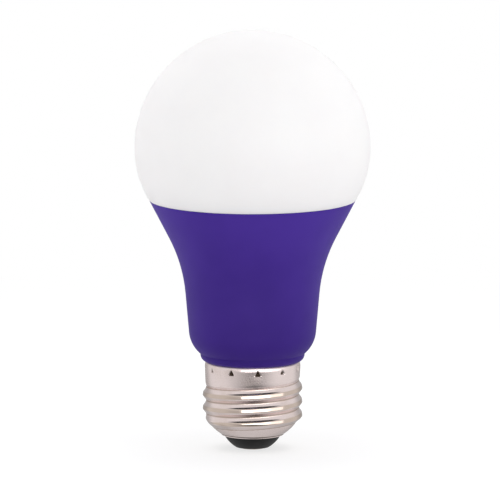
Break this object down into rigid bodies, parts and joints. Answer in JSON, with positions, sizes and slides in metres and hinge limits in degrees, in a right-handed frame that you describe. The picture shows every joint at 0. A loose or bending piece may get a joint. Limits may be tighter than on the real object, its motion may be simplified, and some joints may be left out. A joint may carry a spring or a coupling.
{
  "type": "decorative led bulb",
  "caption": "LED lamp with a frosted white globe, a flared violet plastic housing and a nickel screw cap with a black insulator; it screws into a lamp holder and gives light.",
  "frame": {"origin": "centre of the centre contact's bottom face, the lamp's lowest point", "axes": "+Z along the lamp's axis from the cap to the globe's top; -Y faces the picture's camera; +X to the camera's right"},
  "size_m": [0.0622, 0.0622, 0.111],
  "materials": {
    "frosted_plastic": "frosted white",
    "violet_plastic": "satin violet",
    "nickel": "bright rolled nickel plate",
    "black_insulator": "semi-matte black",
    "contact_metal": "tinned brass"
  },
  "bodies": {
    "root": {"diffuser": "frosted_plastic", "housing": "violet_plastic", "screw_shell": "nickel", "insulator": "black_insulator", "centre_contact": "contact_metal"}
  },
  "joints": []
}
